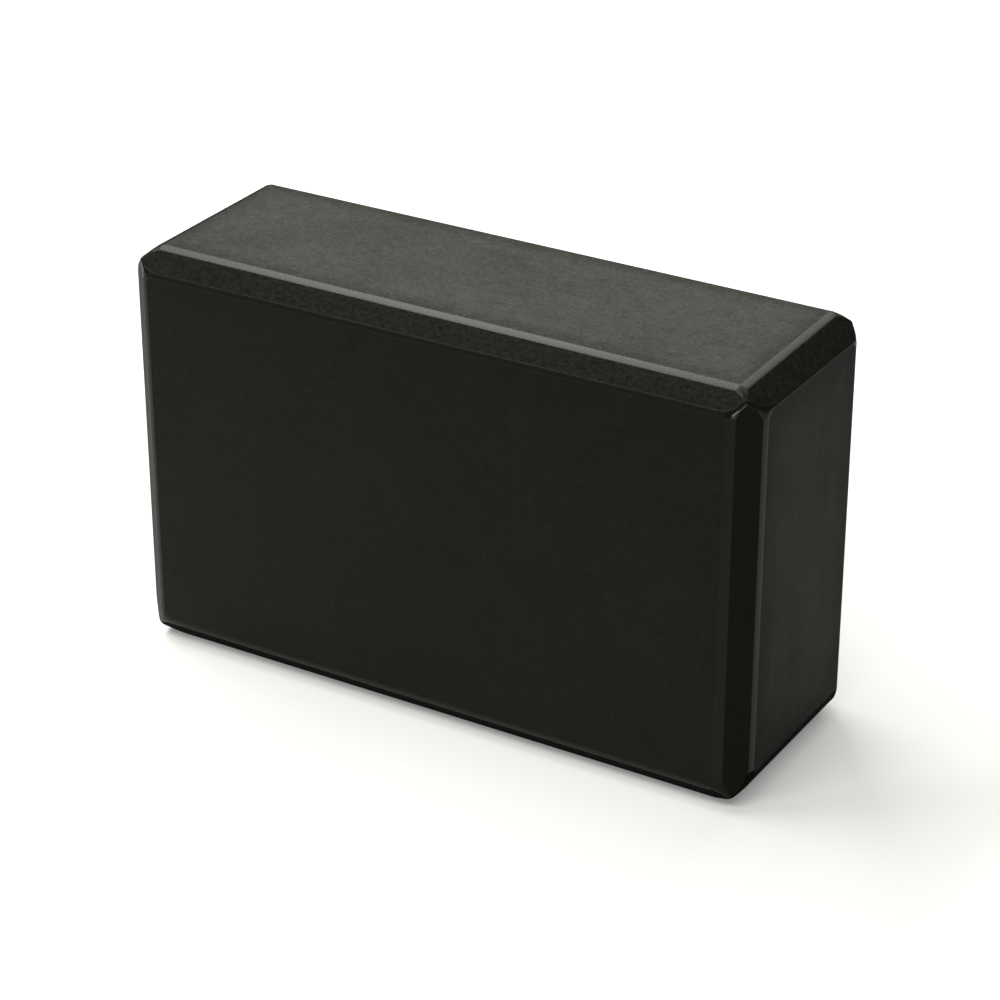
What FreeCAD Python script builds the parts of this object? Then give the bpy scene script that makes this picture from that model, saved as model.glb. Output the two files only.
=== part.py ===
import FreeCAD, Part
import os
import Sketcher

# Yoga block of closed-cell EVA foam, standing on its long narrow side.
# Two foam slabs are glued face to face, and every outer edge is cut back by a 45 degree bevel
# whose borders are rounded over. X runs along the block, Y through its thickness with the front
# face towards -Y, and Z is up. The origin is the middle of the face that the block stands on.

# Driving dimensions in millimetres: alias, value, what it measures
SIZES = (
    ("block_length", 230.0, "long side of the block"),
    ("block_height", 145.0, "height of the block on its long narrow side"),
    ("slab_thickness", 39.9, "one foam slab, outer face to glue face"),
    ("film_thickness", 0.2, "cured adhesive between the two slabs"),
    ("bevel_leg", 8.0, "how far a bevel reaches along each face that it cuts"),
    ("border_radius", 3.5, "rounding where a bevel meets a face or another bevel"),
)

# Ends of a sketch line, and the point where the sketch's own axes start
START, END = 1, 2
SKETCH_ORIGIN = (-1, START)
# Geometry closer than this, in millimetres, counts as touching
TOUCHING = 1e-6

doc = FreeCAD.newDocument("yoga_block")
sheet = doc.addObject("Spreadsheet::Sheet", "sizes")
for row, (alias, value, note) in enumerate(SIZES, start=1):
    sheet.set(f"A{row}", note)
    sheet.set(f"B{row}", str(value))
    sheet.setAlias(f"B{row}", alias)
doc.recompute()


def new_sketch(body, name, plane_role):
    """Adds a sketch to a body, on the body's own origin plane of that role."""
    sketch = body.newObject("Sketcher::SketchObject", name)
    plane = next(feature for feature in body.Origin.OriginFeatures if feature.Role == plane_role)
    sketch.AttachmentSupport = [(plane, "")]
    sketch.MapMode = "FlatFace"
    return sketch


def draw_loop(sketch, corners):
    """Draws a closed loop of lines through the corners and returns the lines' numbers."""
    points = [FreeCAD.Vector(across, up, 0) for across, up in corners]
    lines = [
        sketch.addGeometry(Part.LineSegment(start, end))
        for start, end in zip(points, points[1:] + points[:1])
    ]
    for line, following in zip(lines, lines[1:] + lines[:1]):
        sketch.addConstraint(Sketcher.Constraint("Coincident", line, END, following, START))
    return lines


def dimension(sketch, kind, inner, outer, side, expression):
    """Ties the distance between two sketch points to the sheet.

    The outer point lies to that side of the inner one: 1 for right or up, -1 for left or down.
    """
    first, second = (inner, outer) if side > 0 else (outer, inner)
    value = float(sketch.evalExpression(expression))
    index = sketch.addConstraint(Sketcher.Constraint(kind, *first, *second, value))
    sketch.setExpression(f"Constraints[{index}]", expression)


def draw_outline(body):
    """Sketches the block's outline as its large face shows it: a rectangle with bevelled corners."""
    sketch = new_sketch(body, f"{body.Label}_outline", "XZ_Plane")
    right_x, top_z, leg = sheet.block_length / 2, sheet.block_height / 2, sheet.bevel_leg
    bottom, low_right, right, high_right, top, high_left, left, low_left = draw_loop(sketch, (
        (leg - right_x, -top_z), (right_x - leg, -top_z), (right_x, leg - top_z), (right_x, top_z - leg),
        (right_x - leg, top_z), (leg - right_x, top_z), (-right_x, top_z - leg), (-right_x, leg - top_z),
    ))
    sketch.addConstraint([
        Sketcher.Constraint("Horizontal", bottom),
        Sketcher.Constraint("Vertical", right),
        Sketcher.Constraint("Horizontal", top),
        Sketcher.Constraint("Vertical", left),
        Sketcher.Constraint("Symmetric", bottom, START, top, START, *SKETCH_ORIGIN),
    ])
    dimension(sketch, "DistanceX", (left, START), (right, START), 1, "sizes.block_length")
    dimension(sketch, "DistanceY", (bottom, START), (top, START), 1, "sizes.block_height")
    # Each corner's bevel, its end on a level side, its end on an upright side, and where it lies
    for bevel, level_end, upright_end, side_across, side_up in (
        (low_right, START, END, 1, -1), (high_right, END, START, 1, 1),
        (high_left, START, END, -1, 1), (low_left, END, START, -1, -1),
    ):
        on_level, on_upright = (bevel, level_end), (bevel, upright_end)
        dimension(sketch, "DistanceX", on_level, on_upright, side_across, "sizes.bevel_leg")
        dimension(sketch, "DistanceY", on_upright, on_level, side_up, "sizes.bevel_leg")
    return sketch


def draw_bevel(sketch, reach_across, side_across, reach_up, side_up):
    """Adds the triangle that a bevel cuts off one corner of the slab's section.

    A reach is an expression for the corner's distance from the sketch origin along an axis, and a
    side is 1 or -1, the half of that axis that the corner lies on.
    """
    across = side_across * float(sketch.evalExpression(reach_across))
    up = side_up * float(sketch.evalExpression(reach_up))
    leg = sheet.bevel_leg
    level, _, upright = draw_loop(sketch, (
        (across, up), (across - side_across * leg, up), (across, up - side_up * leg),
    ))
    sketch.addConstraint([
        Sketcher.Constraint("Horizontal", level),
        Sketcher.Constraint("Vertical", upright),
    ])
    corner = (level, START)
    dimension(sketch, "DistanceX", SKETCH_ORIGIN, corner, side_across, reach_across)
    dimension(sketch, "DistanceY", SKETCH_ORIGIN, corner, side_up, reach_up)
    dimension(sketch, "DistanceX", (level, END), corner, side_across, "sizes.bevel_leg")
    dimension(sketch, "DistanceY", (upright, START), corner, side_up, "sizes.bevel_leg")


def cut_bevels(body, name, plane_role, corners):
    """Cuts the same bevel along the whole body at each of the corners of its section."""
    uncut_volume = body.Tip.Shape.Volume
    sketch = new_sketch(body, f"{body.Label}_{name}_sections", plane_role)
    for corner in corners:
        draw_bevel(sketch, *corner)
    pocket = body.newObject("PartDesign::Pocket", f"{body.Label}_{name}")
    pocket.Profile = sketch
    pocket.Type = "ThroughAll"
    pocket.SideType = "Symmetric"
    doc.recompute()
    if pocket.Shape.Volume > uncut_volume - TOUCHING:
        raise RuntimeError(f"{pocket.Name} cuts nothing")


def round_borders(body, glue_levels):
    """Rounds every edge of the body that doesn't lie in a glue face, at one of those Y levels."""
    cut_shape = body.Tip
    rounded = [
        f"Edge{number}"
        for number, edge in enumerate(cut_shape.Shape.Edges, start=1)
        if not any(
            all(abs(vertex.Point.y - level) < TOUCHING for vertex in edge.Vertexes)
            for level in glue_levels
        )
    ]
    fillet = body.newObject("PartDesign::Fillet", f"{body.Label}_rounding")
    fillet.Base = (cut_shape, rounded)
    fillet.setExpression("Radius", "sizes.border_radius")


def make_slab(label, turn_degrees, film_side):
    """Makes one foam slab, glue face on its own XZ plane, and stands it against the glue film.

    The back slab is the front one turned half round. film_side is 1 or -1, the side of the film
    along Y that the slab lies on.
    """
    body = doc.addObject("PartDesign::Body", label)
    board = body.newObject("PartDesign::Pad", f"{label}_board")
    board.Profile = draw_outline(body)
    board.setExpression("Length", "sizes.slab_thickness")
    doc.recompute()
    outer_face = ("sizes.slab_thickness", -1)
    cut_bevels(body, "upright_bevels", "XY_Plane", [
        ("sizes.block_length / 2", side, *outer_face) for side in (-1, 1)
    ])
    cut_bevels(body, "level_bevels", "YZ_Plane", [
        (*outer_face, "sizes.block_height / 2", side) for side in (-1, 1)
    ])
    round_borders(body, glue_levels=(0,))
    body.Placement.Rotation = FreeCAD.Rotation(FreeCAD.Vector(0, 0, 1), turn_degrees)
    body.setExpression("Placement.Base.y", f"{film_side} * sizes.film_thickness / 2")
    body.setExpression("Placement.Base.z", "sizes.block_height / 2")
    return body


def make_glue_film(label):
    """Makes the cured contact adhesive between the slabs, out to the block's own outline."""
    body = doc.addObject("PartDesign::Body", label)
    film = body.newObject("PartDesign::Pad", f"{label}_coat")
    film.Profile = draw_outline(body)
    film.SideType = "Symmetric"
    film.setExpression("Length", "sizes.film_thickness")
    doc.recompute()
    half_film = sheet.film_thickness / 2
    round_borders(body, glue_levels=(-half_film, half_film))
    body.setExpression("Placement.Base.z", "sizes.block_height / 2")
    return body


pieces = (
    make_slab("front_slab", turn_degrees=0, film_side=-1),
    make_glue_film("glue_film"),
    make_slab("back_slab", turn_degrees=180, film_side=1),
)
doc.recompute()

failed = [item.Name for item in doc.Objects if "Invalid" in item.State or "Error" in item.State]
if failed:
    raise RuntimeError("failed features: " + ", ".join(failed))
for piece in pieces:
    if piece.Shape.isNull() or not piece.Shape.isValid() or len(piece.Shape.Solids) != 1:
        raise RuntimeError(f"{piece.Label} is not one sound solid")

os.makedirs("parts", exist_ok=True)
for piece in pieces:
    piece.Shape.exportStep(f"parts/{piece.Label}.step")
    box = piece.Shape.BoundBox
    print(
        f"{piece.Label}: {piece.Shape.Volume / 1000:.2f} cm3,"
        f" x {box.XMin:.2f} to {box.XMax:.2f}, y {box.YMin:.2f} to {box.YMax:.2f},"
        f" z {box.ZMin:.2f} to {box.ZMax:.2f} mm"
    )
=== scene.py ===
"""Looks of a black EVA foam yoga block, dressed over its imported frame."""
import logging
import math
from dataclasses import dataclass, field, replace
from enum import Enum, IntEnum
from itertools import product
from typing import Any

import bmesh
import bpy
from mathutils import Matrix, Vector


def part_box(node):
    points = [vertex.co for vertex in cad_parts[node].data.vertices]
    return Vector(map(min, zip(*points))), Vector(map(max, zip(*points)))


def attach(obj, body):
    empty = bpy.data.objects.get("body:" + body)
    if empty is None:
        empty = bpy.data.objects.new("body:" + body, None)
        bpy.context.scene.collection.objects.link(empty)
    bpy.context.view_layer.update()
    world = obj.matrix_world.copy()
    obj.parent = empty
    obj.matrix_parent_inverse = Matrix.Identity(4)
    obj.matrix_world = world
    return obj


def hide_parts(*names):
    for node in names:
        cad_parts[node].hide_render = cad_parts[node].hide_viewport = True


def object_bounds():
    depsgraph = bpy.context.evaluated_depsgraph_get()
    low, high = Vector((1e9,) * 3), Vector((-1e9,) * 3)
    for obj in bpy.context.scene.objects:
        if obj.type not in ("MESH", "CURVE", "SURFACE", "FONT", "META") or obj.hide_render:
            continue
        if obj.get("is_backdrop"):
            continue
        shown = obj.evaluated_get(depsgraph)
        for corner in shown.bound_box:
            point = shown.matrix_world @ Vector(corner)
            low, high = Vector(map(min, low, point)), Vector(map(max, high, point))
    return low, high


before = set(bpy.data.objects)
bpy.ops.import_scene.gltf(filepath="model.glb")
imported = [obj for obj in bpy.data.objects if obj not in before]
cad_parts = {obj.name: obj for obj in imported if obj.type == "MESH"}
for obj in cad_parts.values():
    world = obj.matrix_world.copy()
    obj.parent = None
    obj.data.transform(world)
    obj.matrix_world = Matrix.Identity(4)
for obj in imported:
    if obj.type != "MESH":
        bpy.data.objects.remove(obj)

LOG = logging.getLogger("yoga_block")
MM = 0.001
BODY = "root"
# Two faces that turn by less than this lie in one plane, in radians
FLAT = math.radians(10)
# Points that lie closer than this to a cut are taken to lie on it, in metres
ON_CUT = 1e-6
# A level that lies closer than this to the block's outside doesn't cut the block, in metres
ON_OUTSIDE = 1e-5
# Name of the mesh layer that says which face, bevel or clip a stretch of the surface belongs to
PART_LAYER = "part"
# Middle of a noise's range, and of the swing from a finish's dark colour to its pale one
MIDDLE = 0.5
# Places of a colour mix's sockets, whose names the other kinds of mix share
MIX_SHARE, MIX_FROM, MIX_TO, MIX_RESULT = 0, 6, 7, 2


class Face(Enum):
    """A flat face of the block: the axis that it faces along, and which way."""

    LEFT = (0, -1)
    RIGHT = (0, 1)
    FRONT = (1, -1)
    BACK = (1, 1)
    BOTTOM = (2, -1)
    TOP = (2, 1)


class Effect(Enum):
    """What a light does to what it falls on."""

    BOTH = "lights and shows in gloss"
    FILL = "only lights"
    GLINT = "only shows in gloss"


class Zone(IntEnum):
    """How a stretch of the block's surface was made, which is also its material's place on the mesh."""

    SKIN = 0
    SANDED = 1
    SAWN = 2
    BEVEL = 3
    BORDER = 4
    LIP = 5
    RIDGE = 6
    # Bevels that face down, and those that face sideways: darker copies of the bevel finish, painted shade
    FOOT = 7
    UPRIGHT = 8


class Clip(IntEnum):
    """Which corner a small clip takes off, which is also the clip's part number on the mesh."""

    UPPER_FACE = -1
    LOWER_FACE = -2
    UPPER_MITRE = -3
    LOWER_MITRE = -4


# A face of the block by itself, or a bevel as the two faces that it joins
Part = frozenset[Face]
# Vertices, edges and faces of a form
Elements = list[bmesh.types.BMVert | bmesh.types.BMEdge | bmesh.types.BMFace]

FACE_ZONES = {
    Face.FRONT: Zone.SKIN,
    Face.BACK: Zone.SKIN,
    Face.TOP: Zone.SANDED,
    Face.BOTTOM: Zone.SANDED,
    Face.LEFT: Zone.SAWN,
    Face.RIGHT: Zone.SAWN,
}
# How far each clip reaches along the edges at its corner: a corner of a face, or a mitre of three bevels
CLIPS_MM = {Clip.UPPER_FACE: 2.8, Clip.LOWER_FACE: 3.8, Clip.UPPER_MITRE: 1.4, Clip.LOWER_MITRE: 1.6}


@dataclass(frozen=True)
class Bevel:
    """A trimmed edge of the block, whose reach drifts a little along it, as a hand-fed cut does.

    Attributes:
        faces: The two faces that it joins.
        start_mm: Its reach along the first face at the edge's low end.
        end_mm: Its reach along the first face at the edge's high end.
        skew: Its reach along the second face, as a share of that along the first.
        rounds_mm: Radius of its rounding where it meets the first face, and where it meets the second.
    """

    faces: tuple[Face, Face]
    start_mm: float
    end_mm: float
    skew: float = 1.0
    rounds_mm: tuple[float, float] = (3.5, 3.5)


BEVELS = (
    Bevel((Face.FRONT, Face.TOP), 7.5, 6.7, 1.02, (2.4, 3.9)),
    Bevel((Face.FRONT, Face.BOTTOM), 8.4, 8.4, 0.96, (4.5, 3.5)),
    Bevel((Face.FRONT, Face.LEFT), 8.5, 8.5, 0.95),
    Bevel((Face.FRONT, Face.RIGHT), 7.8, 7.8, 1.14, (4.0, 3.2)),
    Bevel((Face.BACK, Face.TOP), 8.1, 8.0, 0.97, (2.4, 3.9)),
    Bevel((Face.BACK, Face.BOTTOM), 8.2, 8.0, 1.0, (4.5, 3.5)),
    Bevel((Face.BACK, Face.LEFT), 8.0, 8.3),
    Bevel((Face.BACK, Face.RIGHT), 8.0, 7.9),
    Bevel((Face.RIGHT, Face.TOP), 7.0, 7.6, 1.06, (1.4, 3.9)),
    Bevel((Face.RIGHT, Face.BOTTOM), 9.0, 8.8, 0.95, (8.0, 4.0)),
    Bevel((Face.LEFT, Face.TOP), 8.8, 8.8, 1.05, (1.4, 3.9)),
    Bevel((Face.LEFT, Face.BOTTOM), 8.4, 8.2, 1.0, (8.0, 4.0)),
)


@dataclass(frozen=True)
class ZoneLimits:
    """Where one zone gives way to the next, by how far a face's normal leans.

    Attributes:
        level: Least lean upward of a level bevel, and least lean downward of one at the foot.
        under: Lean upward below which a border belongs to the underside.
        skin_end: Lean upward down to which the skin of a large face wraps round its lower border.
        lip_end: Lean upward up to which the lip of a large face reaches.
        ridge: Least lean to the left or right of a rubbed ridge.
    """

    level: float = 0.3
    under: float = -0.04
    skin_end: float = -0.5
    lip_end: float = 0.1
    ridge: float = 0.12

    def zone(self, made: Zone, normal: Vector) -> Zone:
        """Tells which zone a face belongs to.

        Args:
            made: The zone that the trimming or the rounding gave it.
            normal: The way that it faces.

        Returns:
            Its zone.
        """
        across, through, up = normal
        outward = abs(through) > max(abs(across), abs(up))
        # Bevels that face down, and those that face sideways, get the darker copies of the bevel finish that
        # paint shade on them
        if made is Zone.BEVEL and up < self.level:
            return Zone.FOOT if up < -self.level else Zone.UPRIGHT
        if made is not Zone.BORDER:
            return made
        if up < self.under:
            return Zone.SKIN if outward and up > self.skin_end else Zone.FOOT
        if outward and up < self.lip_end:
            return Zone.LIP
        if outward and abs(across) > self.ridge:
            return Zone.RIDGE
        return made


def linear(hex_colour: str) -> tuple[float, float, float, float]:
    """Turns an sRGB hex colour into linear light.

    Args:
        hex_colour: Six hex digits after a hash sign.

    Returns:
        Red, green, blue and an alpha of one.
    """
    parts = (int(hex_colour[i:i + 2], 16) / 255 for i in (1, 3, 5))
    red, green, blue = (p / 12.92 if p <= 0.04045 else ((p + 0.055) / 1.055) ** 2.4 for p in parts)
    return red, green, blue, 1.0


def add_node(tree: bpy.types.NodeTree, kind: str, settings: dict[str, Any] | None = None,
             inputs: dict[str | int, Any] | None = None) -> bpy.types.Node:
    """Adds a node to a tree, sets it up and links what feeds it.

    Args:
        tree: The node tree that it goes into.
        kind: The node's type name.
        settings: Values of its own properties.
        inputs: For each input socket, by name or number, a constant or the output that feeds it.

    Returns:
        The new node.
    """
    made = tree.nodes.new(kind)
    for name, value in (settings or {}).items():
        setattr(made, name, value)
    for socket, value in (inputs or {}).items():
        if isinstance(value, bpy.types.NodeSocket):
            tree.links.new(value, made.inputs[socket])
        else:
            made.inputs[socket].default_value = value
    return made


@dataclass(frozen=True)
class Pattern:
    """One scale of unevenness in a surface.

    Attributes:
        size_mm: Width of a patch along X, Y and Z.
        share: Share of the colour's swing that it has.
        detail: How many finer scales it holds.
        falloff: Weight of each finer scale, as a share of that of the scale above it.
    """

    size_mm: tuple[float, float, float]
    share: float
    detail: float
    falloff: float = 0.55


@dataclass(frozen=True)
class Finish:
    """A finish of the foam or of the glue in it.

    Attributes:
        name: What the material is and how its surface was made.
        dark: Colour where it is darkest.
        pale: Colour where it is palest.
        ior: Index of refraction of its surface, low on open foam, which is mostly air.
        patterns: Its patches from broad to fine, of which the finest also stands up as relief.
        relief_mm: Height of that relief.
        roughness: Roughness of its gloss.
        gloss_tint: Colour of its gloss.
        rim: Share of the colour's swing that painted shade takes off along the rim of a face.
        painted_rim_mm: Distance from the block's edges where that painted shade is darkest, and where it
            ends.
    """

    name: str
    dark: str
    pale: str
    ior: float
    patterns: tuple[Pattern, ...]
    relief_mm: float
    roughness: float = 0.45
    gloss_tint: str = "#f6faee"
    rim: float = 0.0
    painted_rim_mm: tuple[float, float] = (9.0, 17.0)

    def painted_rim_shade(self, tree: bpy.types.NodeTree, place: bpy.types.NodeSocket, centre: Vector,
                  half: Vector) -> bpy.types.NodeSocket:
        """Adds the nodes of the painted shade along the rim of a face: how far a point lies in that rim.

        A point on a face lies at no depth below that face, so the middle one of its three depths below
        the block's sides is its distance from the nearest edge.

        Args:
            tree: The material's node tree.
            place: The point.
            centre: Centre of the block.
            half: Half the block's size.

        Returns:
            One where the painted shade is darkest and nought inside the rim.
        """
        offset = add_node(tree, "ShaderNodeVectorMath", {"operation": "SUBTRACT"}, {0: place, 1: centre})
        spread = add_node(tree, "ShaderNodeVectorMath", {"operation": "ABSOLUTE"}, {0: offset.outputs[0]})
        depth = add_node(tree, "ShaderNodeVectorMath", {"operation": "SUBTRACT"}, {
            0: half, 1: spread.outputs[0],
        })
        across, through, up = add_node(tree, "ShaderNodeSeparateXYZ", inputs={0: depth.outputs[0]}).outputs
        lower = add_node(tree, "ShaderNodeMath", {"operation": "MINIMUM"}, {0: across, 1: through})
        upper = add_node(tree, "ShaderNodeMath", {"operation": "MAXIMUM"}, {0: across, 1: through})
        capped = add_node(tree, "ShaderNodeMath", {"operation": "MINIMUM"}, {0: upper.outputs[0], 1: up})
        middle = add_node(tree, "ShaderNodeMath", {"operation": "MAXIMUM"}, {
            0: lower.outputs[0], 1: capped.outputs[0],
        })
        start, end = self.painted_rim_mm
        return add_node(tree, "ShaderNodeMapRange", {"interpolation_type": "SMOOTHSTEP"}, {
            "Value": middle.outputs[0], "From Min": start * MM, "From Max": end * MM,
            "To Min": 1.0, "To Max": 0.0,
        }).outputs["Result"]

    def material(self, centre: Vector, half: Vector) -> bpy.types.Material:
        """Builds the material's nodes.

        Args:
            centre: Centre of the block that wears it.
            half: Half that block's size.

        Returns:
            The material.
        """
        made = bpy.data.materials.new(self.name)
        made.use_nodes = True
        tree = made.node_tree
        tree.nodes.clear()
        place = add_node(tree, "ShaderNodeTexCoord").outputs["Object"]
        swing = MIDDLE
        for pattern in self.patterns:
            scaled = add_node(tree, "ShaderNodeMapping", inputs={
                "Vector": place, "Scale": [1 / (size * MM) for size in pattern.size_mm],
            })
            patches = add_node(tree, "ShaderNodeTexNoise", inputs={
                "Vector": scaled.outputs["Vector"], "Scale": 1.0,
                "Detail": pattern.detail, "Roughness": pattern.falloff,
            }).outputs["Fac"]
            centred = add_node(tree, "ShaderNodeMath", {"operation": "SUBTRACT"}, {0: patches, 1: MIDDLE})
            swing = add_node(tree, "ShaderNodeMath", {"operation": "MULTIPLY_ADD"}, {
                0: centred.outputs[0], 1: pattern.share / MIDDLE, 2: swing,
            }).outputs[0]
        # Painted shade: the colour is darkened along the rim of each face
        if self.rim:
            swing = add_node(tree, "ShaderNodeMath", {"operation": "MULTIPLY_ADD"}, {
                0: self.painted_rim_shade(tree, place, centre, half), 1: -self.rim, 2: swing,
            }).outputs[0]
        shade = add_node(tree, "ShaderNodeMix", {"data_type": "RGBA"}, {
            MIX_SHARE: swing, MIX_FROM: linear(self.dark), MIX_TO: linear(self.pale),
        })
        relief = add_node(tree, "ShaderNodeBump", inputs={
            "Height": patches, "Distance": self.relief_mm * MM, "Strength": 1.0,
        })
        surface = add_node(tree, "ShaderNodeBsdfPrincipled", inputs={
            "Base Color": shade.outputs[MIX_RESULT], "Roughness": self.roughness, "IOR": self.ior,
            "Specular Tint": linear(self.gloss_tint), "Normal": relief.outputs["Normal"],
        })
        add_node(tree, "ShaderNodeOutputMaterial", inputs={"Surface": surface.outputs["BSDF"]})
        return made


def even(size_mm: float) -> tuple[float, float, float]:
    """Gives a patch the same width along X, Y and Z."""
    return size_mm, size_mm, size_mm


# Cells of such foam are about 0.3 mm wide, and a blade tears them a little wider. Both are too fine to show
# in the render, so the grain that they give is drawn four times as coarse.
CELL_MM = 0.3
TORN_CELL_MM = 0.35
DRAWN_COARSER = 4
GRAIN_MM = DRAWN_COARSER * CELL_MM
TORN_GRAIN_MM = DRAWN_COARSER * TORN_CELL_MM
# The belt smears the grain across the block
SMEARED_GRAIN_MM = 1.7

# Foam that cooled against a polished mould: even, dark and barely satin
MOULDED_SKIN = Finish(
    name="eva_foam_moulded_skin", dark="#080a07", pale="#11130d", ior=1.195,
    patterns=(Pattern(even(45), 0.4, 2), Pattern(even(9), 0.4, 2), Pattern(even(GRAIN_MM), 0.8, 1)),
    relief_mm=0.04, gloss_tint="#ebf3de",
)
# Foam pressed smooth along the borders: closed and glossy, so that it draws the light as thin lines
BURNISHED_BORDER = Finish(
    name="eva_foam_burnished_border", dark="#0c0d0b", pale="#0f100d", ior=1.34,
    patterns=(Pattern(even(45), 0.4, 2), Pattern(even(GRAIN_MM), 0.4, 1)),
    relief_mm=0.03,
)
FOAM_FINISHES = {
    Zone.SKIN: MOULDED_SKIN,
    # Foam sanded flat: cut cells give a paler, mottled, matt grey, with painted shade darkening it along the
    # rim
    Zone.SANDED: Finish(
        name="eva_foam_sanded", dark="#2f302c", pale="#444541", ior=1.045,
        patterns=(
            Pattern(even(28), 0.3, 2), Pattern(even(5), 0.35, 2),
            Pattern((GRAIN_MM, SMEARED_GRAIN_MM, GRAIN_MM), 0.55, 1),
        ),
        relief_mm=0.03, rim=0.4,
    ),
    # Foam cut off with a saw: darker and a little satin, with faint upright streaks that the blade leaves,
    # and painted shade darkening it along its rim
    Zone.SAWN: Finish(
        name="eva_foam_sawn_end", dark="#12140f", pale="#2a2c25", ior=1.08,
        patterns=(Pattern(even(24), 0.4, 2), Pattern((30, 9, 40), 0.4, 2), Pattern(even(GRAIN_MM), 0.5, 1)),
        relief_mm=0.04, gloss_tint="#ebf3de", rim=0.55, painted_rim_mm=(8.0, 24.0),
    ),
    # Foam trimmed by a blade along its level edges and left raw: near black, with a fine pale grain
    Zone.BEVEL: Finish(
        name="eva_foam_trimmed_bevel", dark="#0d0f0b", pale="#1e1f1b", ior=1.07,
        patterns=(Pattern(even(25), 0.2, 2), Pattern(even(3), 0.2, 2), Pattern(even(TORN_GRAIN_MM), 0.7, 1)),
        relief_mm=0.25,
    ),
    Zone.BORDER: BURNISHED_BORDER,
    # Skin stretched over an upright border: a little more satin than on the flat
    Zone.LIP: replace(MOULDED_SKIN, name="eva_foam_stretched_skin", ior=1.235),
    # Foam rubbed shiny by hands at the corners of the large faces: small sharp glints
    Zone.RIDGE: replace(
        BURNISHED_BORDER, name="eva_foam_rubbed_ridge", roughness=0.25, ior=1.45, relief_mm=0.004,
    ),
    # Foam trimmed by a blade on the standing side: open and dead matt, and coloured darker than the level
    # bevels as painted shade, so that it stays black by the floor
    Zone.FOOT: Finish(
        name="eva_foam_trimmed_foot", dark="#0a0b09", pale="#12130f", roughness=0.6, ior=1.03,
        patterns=(Pattern(even(25), 0.2, 2), Pattern(even(3), 0.4, 2), Pattern(even(TORN_GRAIN_MM), 0.6, 1)),
        relief_mm=0.08,
    ),
    # Foam trimmed by a blade along its upright edges, with hardly any grain, and coloured darker than the
    # level bevels as painted shade
    Zone.UPRIGHT: Finish(
        name="eva_foam_trimmed_upright", dark="#0d0f0b", pale="#171814", ior=1.08,
        patterns=(Pattern(even(25), 0.2, 2), Pattern(even(3), 0.2, 2), Pattern(even(TORN_GRAIN_MM), 0.4, 1)),
        relief_mm=0.06,
    ),
}
# Black contact adhesive, trimmed and sanded flush with the foam: it looks the same, but has no cells
GLUE_FINISHES = {
    zone: replace(foam, name=foam.name.replace("eva_foam", "contact_adhesive"), patterns=foam.patterns[:1])
    for zone, foam in FOAM_FINISHES.items()
}


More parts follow.
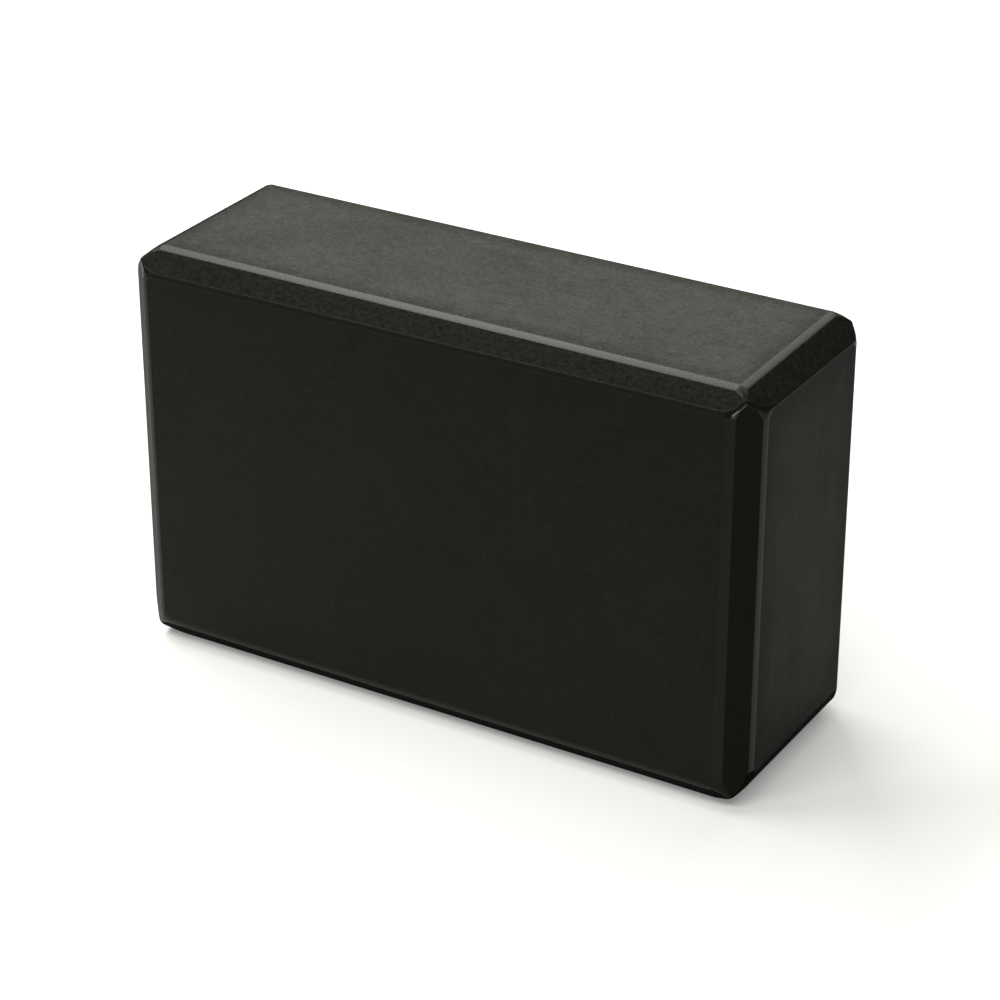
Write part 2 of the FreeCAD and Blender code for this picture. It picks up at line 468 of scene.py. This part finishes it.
@dataclass
class GluedBlock:
    """The foam block as one form, as it is glued up and trimmed, before it is parted at its glue.

    Attributes:
        low: Lowest corner of the block, in metres.
        high: Highest corner of the block.
        bevels: Its twelve trimmed edges.
        clips_mm: How far each kind of clip reaches along the edges at its corner.
        limits: Where one zone of its surface gives way to the next.
        ridge_mm: Radius of the rounding where two bevels meet.
        clip_round: How far a clip's rounding reaches from its borders, as a share of the clip's own reach.
        profile: Fullness of a rounding's section: a quarter is flat, and a half is a true arc.
        rounding_steps: Strips of faces across a rounding.
        grid_mm: Width of the faces that the flat stretches are divided into.
        centre: Centre of the block.
        half: Half the block's size.
        planes: Normal and offset of each face and bevel, from the centre.
        rounds_mm: Radius of the rounding between each bevel and face.
        parts: The faces and bevels, in the order of their part numbers on the mesh.
    """

    low: Vector
    high: Vector
    bevels: tuple[Bevel, ...]
    clips_mm: dict[Clip, float]
    limits: ZoneLimits = ZoneLimits()
    ridge_mm: float = 1.6
    clip_round: float = 0.34
    profile: float = 0.38
    rounding_steps: int = 8
    grid_mm: float = 5.0
    centre: Vector = field(init=False)
    half: Vector = field(init=False)
    planes: dict[Part, tuple[Vector, float]] = field(init=False, default_factory=dict)
    rounds_mm: dict[frozenset[Part], float] = field(init=False, default_factory=dict)
    parts: list[Part] = field(init=False)

    def __post_init__(self) -> None:
        """Works out the planes of the faces and bevels, and the roundings between them."""
        self.centre = (self.low + self.high) / 2
        self.half = (self.high - self.low) / 2
        for face in Face:
            axis, way = face.value
            normal = Vector((0, 0, 0))
            normal[axis] = way
            self.planes[frozenset([face])] = (normal, self.half[axis])
        for bevel in self.bevels:
            (first_axis, first_way), (second_axis, second_way) = (face.value for face in bevel.faces)
            (along,) = {0, 1, 2} - {first_axis, second_axis}
            start, end = bevel.start_mm * MM, bevel.end_mm * MM
            normal = Vector((0, 0, 0))
            normal[first_axis] = first_way / bevel.skew
            normal[second_axis] = second_way
            normal[along] = (end - start) / (2 * self.half[along])
            offset = self.half[second_axis] + self.half[first_axis] / bevel.skew - (start + end) / 2
            cut = frozenset(bevel.faces)
            self.planes[cut] = (normal, offset)
            for face, radius_mm in zip(bevel.faces, bevel.rounds_mm):
                self.rounds_mm[frozenset([cut, frozenset([face])])] = radius_mm
        self.parts = list(self.planes)

    def meeting_point(self, *planes: Part) -> Vector:
        """Finds the point where three planes meet.

        Args:
            planes: The faces or bevels that lie in the planes.

        Returns:
            The point, from the block's centre.
        """
        normals, offsets = zip(*(self.planes[plane] for plane in planes))
        return Matrix(normals).inverted() @ Vector(offsets)

    def trimmed(self) -> bmesh.types.BMesh:
        """Makes the block with flat faces and flat bevels, mitred where three bevels meet, and clipped.

        Returns:
            The form, with each face's zone as its material number, and its place in parts as its part.
        """
        form = bmesh.new()
        part = form.faces.layers.int.new(PART_LAYER)
        on_face, on_mitre = {}, {}
        for ways in product((-1, 1), repeat=3):
            faces = [Face((axis, way)) for axis, way in enumerate(ways)]
            edges = [frozenset(faces) - {face} for face in faces]
            on_mitre[ways] = form.verts.new(self.meeting_point(*edges))
            for face in faces:
                own = [edge for edge in edges if face in edge]
                on_face[face, ways] = form.verts.new(self.meeting_point(frozenset([face]), *own))
        for face in Face:
            axis, way = face.value
            ring = []
            for first, second in ((-1, -1), (1, -1), (1, 1), (-1, 1)):
                ways = [first, second]
                ways.insert(axis, way)
                ring.append(on_face[face, tuple(ways)])
            made = form.faces.new(ring)
            made.material_index = FACE_ZONES[face]
            made[part] = self.parts.index(frozenset([face]))
        for bevel in self.bevels:
            first, second = bevel.faces
            ends = []
            for end in (-1, 1):
                ways = [end] * 3
                for axis, way in (first.value, second.value):
                    ways[axis] = way
                ends.append(tuple(ways))
            low, high = ends
            made = form.faces.new((
                on_face[first, low], on_mitre[low], on_face[second, low],
                on_face[second, high], on_mitre[high], on_face[first, high],
            ))
            made.material_index = Zone.BEVEL
            made[part] = self.parts.index(frozenset(bevel.faces))
        bmesh.ops.recalc_face_normals(form, faces=form.faces[:])
        self.clip(form, {
            Clip.UPPER_FACE: [vert for (_, ways), vert in on_face.items() if ways[2] > 0],
            Clip.LOWER_FACE: [vert for (_, ways), vert in on_face.items() if ways[2] < 0],
            Clip.UPPER_MITRE: [vert for ways, vert in on_mitre.items() if ways[2] > 0],
            Clip.LOWER_MITRE: [vert for ways, vert in on_mitre.items() if ways[2] < 0],
        })
        return form

    def clip(self, form: bmesh.types.BMesh, corners: dict[Clip, list[bmesh.types.BMVert]]) -> None:
        """Takes a small clip off each corner, so that the bevels end round.

        Args:
            form: The trimmed block.
            corners: The corners that each kind of clip takes off.
        """
        part = form.faces.layers.int[PART_LAYER]
        for clip, verts in corners.items():
            reach = self.clips_mm[clip] * MM
            cut = bmesh.ops.bevel(form, geom=verts, offset=reach, segments=1, affect="VERTICES")
            for face in cut["faces"]:
                face.material_index = Zone.BORDER
                face[part] = clip

    def divide(self, form: bmesh.types.BMesh, centre: Vector, stretch: Elements) -> None:
        """Divides flat stretches into a grid, clear of the mitred corners.

        Args:
            form: The block, or a layer of it.
            centre: Where the block's centre lies in it.
            stretch: The vertices, edges and faces that are divided.
        """
        margin = 2 * max(max(bevel.start_mm, bevel.end_mm) for bevel in self.bevels) * MM
        for axis in range(3):
            reach = self.half[axis] - margin
            count = max(1, round(2 * reach / (self.grid_mm * MM)))
            normal = Vector((0, 0, 0))
            normal[axis] = 1
            for step in range(count + 1):
                stretch = bmesh.ops.bisect_plane(
                    form, geom=stretch, dist=ON_CUT,
                    plane_co=centre + normal * (2 * reach * step / count - reach), plane_no=normal,
                )["geom"]

    def weigh(self, form: bmesh.types.BMesh) -> float:
        """Notes how far the rounding of each border, ridge and clip reaches, as a share of the widest.

        Args:
            form: The trimmed and divided block.

        Returns:
            The widest reach, in metres.
        """
        part = form.faces.layers.int[PART_LAYER]
        weights = form.edges.layers.float.new("bevel_weight_edge")
        reaches = {}
        for edge in form.edges:
            turn = edge.calc_face_angle()
            if turn > FLAT:
                numbers = [face[part] for face in edge.link_faces]
                if min(numbers) < 0:
                    reach_mm = self.clip_round * self.clips_mm[Clip(min(numbers))]
                else:
                    sides = frozenset(self.parts[number] for number in numbers)
                    reach_mm = self.rounds_mm.get(sides, self.ridge_mm) * math.tan(turn / 2)
                reaches[edge] = reach_mm * MM
        widest = max(reaches.values())
        for edge, reach in reaches.items():
            edge[weights] = reach / widest
        return widest

    def rounded(self) -> bpy.types.Mesh:
        """Rounds every border, ridge and clip of the trimmed block, and sorts its surface into zones.

        Returns:
            The block's mesh, in place.
        """
        form = self.trimmed()
        self.divide(form, Vector((0, 0, 0)), form.verts[:] + form.edges[:] + form.faces[:])
        widest = self.weigh(form)
        mesh = bpy.data.meshes.new("trimmed_block")
        form.to_mesh(mesh)
        form.free()
        for _ in Zone:
            mesh.materials.append(None)
        holder = bpy.data.objects.new("trimmed_block", mesh)
        bpy.context.scene.collection.objects.link(holder)
        rounding = holder.modifiers.new("rounding", "BEVEL")
        rounding.limit_method = "WEIGHT"
        rounding.offset_type = "OFFSET"
        rounding.width = widest
        rounding.profile = self.profile
        rounding.segments = self.rounding_steps
        rounding.use_clamp_overlap = False
        rounding.material = Zone.BORDER
        graph = bpy.context.evaluated_depsgraph_get()
        made = bpy.data.meshes.new_from_object(holder.evaluated_get(graph))
        bpy.data.objects.remove(holder)
        made.transform(Matrix.Translation(self.centre))
        for face in made.polygons:
            face.material_index = self.limits.zone(Zone(face.material_index), face.normal)
        return made


@dataclass
class Layer:
    """One layer of the glued block, between two levels of its thickness.

    Attributes:
        name: The piece's name.
        node: The CAD node that it stands for.
        slot: The record's material slot; not used.
        finishes: Its finish in each zone of the surface.
        fill: How full its foam is, or None where the layer isn't foam; not used.
    """

    name: str
    node: str
    slot: str
    finishes: dict[Zone, Finish]
    fill: float | None

    def cut_out(self, block: GluedBlock, whole: bpy.types.Mesh) -> bpy.types.Mesh:
        """Cuts the layer out of the block and closes it where it is glued.

        Args:
            block: The block.
            whole: The block's mesh.

        Returns:
            The layer's mesh.
        """
        low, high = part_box(self.node)
        form = bmesh.new()
        form.from_mesh(whole)
        for level, way in ((low.y, -1), (high.y, 1)):
            if abs(level - block.centre.y) < block.half.y - ON_OUTSIDE:
                cut = bmesh.ops.bisect_plane(
                    form, geom=form.verts[:] + form.edges[:] + form.faces[:], dist=ON_CUT,
                    plane_co=(0, level, 0), plane_no=(0, way, 0), clear_outer=True,
                )
                rim = [edge for edge in cut["geom_cut"] if isinstance(edge, bmesh.types.BMEdge)]
                for edge in rim:
                    edge.smooth = False
                glued = bmesh.ops.contextual_create(form, geom=rim)["faces"]
                for face in glued:
                    face.material_index = Zone.SANDED
                borders = [element for face in glued for element in (*face.verts, *face.edges)]
                block.divide(form, block.centre, glued + borders)
        bmesh.ops.recalc_face_normals(form, faces=form.faces[:])
        for face in form.faces:
            face.smooth = True
        mesh = bpy.data.meshes.new(self.name)
        form.to_mesh(mesh)
        form.free()
        return mesh

    def dressing(self, zone: Zone, block: GluedBlock) -> bpy.types.Material:
        """Gives a zone's material, made once for all the layers that share it."""
        finish = self.finishes[zone]
        return bpy.data.materials.get(finish.name) or finish.material(block.centre, block.half)

    def build(self, block: GluedBlock, whole: bpy.types.Mesh) -> bpy.types.Object:
        """Makes the layer, dresses it and ties it to the frame.

        Args:
            block: The block.
            whole: The block's mesh.

        Returns:
            The piece.
        """
        mesh = self.cut_out(block, whole)
        for zone in Zone:
            mesh.materials.append(self.dressing(zone, block))
        piece = bpy.data.objects.new(self.name, mesh)
        bpy.context.scene.collection.objects.link(piece)
        steady = piece.modifiers.new("flat_faces_stay_flat", "WEIGHTED_NORMAL")
        steady.keep_sharp = True
        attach(piece, BODY)
        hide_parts(self.node)
        return piece


@dataclass(frozen=True)
class Softbox:
    """A flat soft light.

    Attributes:
        name: The light's name.
        place: Where it hangs, in metres.
        aim: The point that it faces.
        size: Its level width and its height in metres.
        watts: Its power.
        effect: What it does to the block and the floor.
        colour: Colour of its cloth.
    """

    name: str
    place: tuple[float, float, float]
    aim: tuple[float, float, float]
    size: tuple[float, float]
    watts: float
    effect: Effect = Effect.BOTH
    colour: str = "#fdfefa"

    def hang(self) -> None:
        """Hangs the light where the block and the floor see it, and the camera doesn't."""
        light = bpy.data.lights.new(self.name, "AREA")
        light.shape = "RECTANGLE"
        light.size, light.size_y = self.size
        light.energy = self.watts
        light.color = linear(self.colour)[:3]
        made = bpy.data.objects.new(self.name, light)
        made.location = self.place
        made.visible_camera = False
        made.visible_glossy = self.effect is not Effect.FILL
        made.visible_diffuse = self.effect is not Effect.GLINT
        made.rotation_euler = (Vector(self.aim) - Vector(self.place)).to_track_quat("-Z", "Y").to_euler()
        bpy.context.scene.collection.objects.link(made)


@dataclass
class Studio:
    """The pale floor, the soft lights and the camera.

    Attributes:
        azimuth: Way round the object that the camera stands, in degrees.
        elevation: Its height above the horizon, in degrees.
        distance_mm: Its distance from the point that it looks at.
        aim_mm: That point.
        lens_mm: Its focal length.
        sensor_mm: Width of its sensor.
        paper: Left, near, right and far edge of the paper that the block stands on, in metres.
        floor_reach: How far the floor round the paper reaches each way.
        floor_drop_mm: How far the floor lies below the block, so that they share no plane.
        floor_colour: Colour of the paper and of the floor round it.
        floor_roughness: Roughness of their gloss.
        floor_gloss: Strength of their gloss.
        floor_glow: Light that they give off themselves, as if lit from below.
        white: Colour of that light and of the room's.
        room_light: Strength of the light that comes from all round.
        lights: The soft lights.
    """

    azimuth: float = 30.757
    elevation: float = 27.108
    distance_mm: float = 1026.97
    aim_mm: tuple[float, float, float] = (4.726, 0.0, 66.31)
    lens_mm: float = 112.446
    sensor_mm: float = 36.0
    paper: tuple[float, float, float, float] = (-0.7, -0.4, 0.6, 0.55)
    floor_reach: float = 6.0
    floor_drop_mm: float = 0.02
    floor_colour: str = "#c8c8c5"
    floor_roughness: float = 0.9
    floor_gloss: float = 0.1
    floor_glow: float = 0.22
    white: str = "#ffffff"
    room_light: float = 0.01
    lights: tuple[Softbox, ...] = (
        Softbox("left_strip", (-0.70, 0.22, 1.35), (0.0, 0.22, 0.05), (1.8, 0.35), 37),
        Softbox("back_strip", (-0.1, 1.5, 1.2), (0.0, 0.0, 0.05), (1.0, 0.3), 10.5),
        Softbox("front_key", (0.18, -1.0, 1.38), (0.0, 0.0, 0.05), (1.9, 0.5), 29, Effect.FILL),
        Softbox("front_card", (0.66, -0.8, 0.16), (0.11, -0.04, 0.14), (0.25, 0.15), 2.2, Effect.GLINT),
        Softbox("left_card", (-0.9, -0.25, 0.14), (-0.11, -0.04, 0.14), (0.3, 0.12), 0.7, Effect.GLINT),
    )

    def camera(self) -> None:
        """Stands the camera where the photograph was taken from."""
        azimuth, elevation = math.radians(self.azimuth), math.radians(self.elevation)
        back = Vector((
            math.sin(azimuth) * math.cos(elevation),
            -math.cos(azimuth) * math.cos(elevation),
            math.sin(elevation),
        ))
        lens = bpy.data.cameras.new("camera")
        lens.lens, lens.sensor_width = self.lens_mm, self.sensor_mm
        made = bpy.data.objects.new("camera", lens)
        made.location = (Vector(self.aim_mm) + back * self.distance_mm) * MM
        made.rotation_euler = (-back).to_track_quat("-Z", "Y").to_euler()
        bpy.context.scene.collection.objects.link(made)
        bpy.context.scene.camera = made

    def floor(self) -> None:
        """Lays the pale floor: the paper, and round it a surround that no gloss of the block reflects."""
        matt = bpy.data.materials.new("matt_white_paper")
        matt.use_nodes = True
        shader = matt.node_tree.nodes["Principled BSDF"]
        shader.inputs["Base Color"].default_value = linear(self.floor_colour)
        shader.inputs["Roughness"].default_value = self.floor_roughness
        shader.inputs["Specular IOR Level"].default_value = self.floor_gloss
        shader.inputs["Emission Color"].default_value = linear(self.white)
        shader.inputs["Emission Strength"].default_value = self.floor_glow
        left, near, right, far = self.paper
        reach, level = self.floor_reach, -self.floor_drop_mm * MM
        inner = [(left, near), (right, near), (right, far), (left, far)]
        outer = [(-reach, -reach), (reach, -reach), (reach, reach), (-reach, reach)]
        sides = len(inner)
        ring = [(k, (k + 1) % sides, sides + (k + 1) % sides, sides + k) for k in range(sides)]
        for name, corners, faces in (("paper", inner, [range(sides)]), ("surround", outer + inner, ring)):
            mesh = bpy.data.meshes.new(name)
            mesh.from_pydata([(x, y, level) for x, y in corners], [], faces)
            mesh.materials.append(matt)
            made = bpy.data.objects.new(name, mesh)
            made.visible_glossy = name == "paper"
            bpy.context.scene.collection.objects.link(made)
            made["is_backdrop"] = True

    def room(self) -> None:
        """Gives the room its faint light from all round, and shows colours as they are."""
        world = bpy.data.worlds.new("room")
        world.use_nodes = True
        background = world.node_tree.nodes["Background"]
        background.inputs["Color"].default_value = linear(self.white)
        background.inputs["Strength"].default_value = self.room_light
        bpy.context.scene.world = world
        bpy.context.scene.view_settings.view_transform = "Standard"

    def build(self) -> None:
        """Sets up the whole studio."""
        self.camera()
        self.floor()
        for light in self.lights:
            light.hang()
        self.room()


def main() -> None:
    """Builds the block's pieces and the studio round them, and notes how many faces each piece has."""
    logging.basicConfig(level=logging.INFO, format="%(name)s: %(message)s")
    cad_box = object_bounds()
    block = GluedBlock(cad_box[0], cad_box[1], BEVELS, CLIPS_MM)
    whole = block.rounded()
    for layer in (
        Layer("front_slab_foam", "front_slab", "eva_foam", FOAM_FINISHES, 1.0),
        Layer("glue_film_edge", "glue_film", "contact_adhesive", GLUE_FINISHES, None),
        Layer("back_slab_foam", "back_slab", "eva_foam", FOAM_FINISHES, 1.0),
    ):
        piece = layer.build(block, whole)
        LOG.info("%s: %d faces", piece.name, len(piece.data.polygons))
    bpy.data.meshes.remove(whole)
    Studio().build()


if __name__ == "__main__":
    main()
